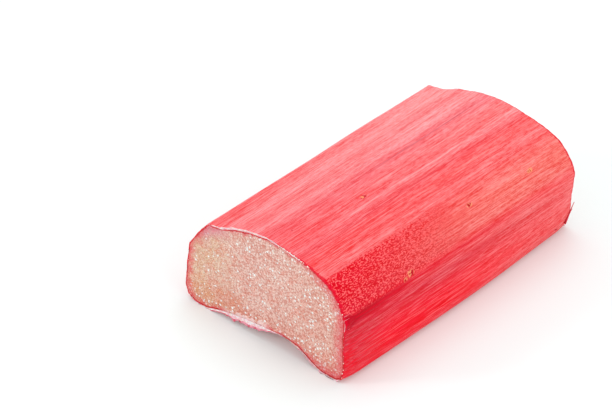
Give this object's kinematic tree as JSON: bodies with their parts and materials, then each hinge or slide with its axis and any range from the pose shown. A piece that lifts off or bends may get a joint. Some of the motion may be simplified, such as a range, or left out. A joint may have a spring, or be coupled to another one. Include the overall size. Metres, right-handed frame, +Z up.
{
  "type": "rhubarb stalk",
  "caption": "Short cut length of a rhubarb stalk, ribbed over its rounded back and grooved underneath, that lies flat on its two feet.",
  "frame": {"origin": "middle of the bottom of the stalk's box, on the surface it lies on", "axes": "+X along the stalk from the near knife cut to the far one, +Y towards the side with the sunken shoulder, +Z up, out of the rounded back"},
  "size_m": [0.0518, 0.0324, 0.0189],
  "materials": {
    "skin": null,
    "flesh": null
  },
  "bodies": {
    "root": {"rhubarb_stalk": "skin"}
  },
  "joints": []
}
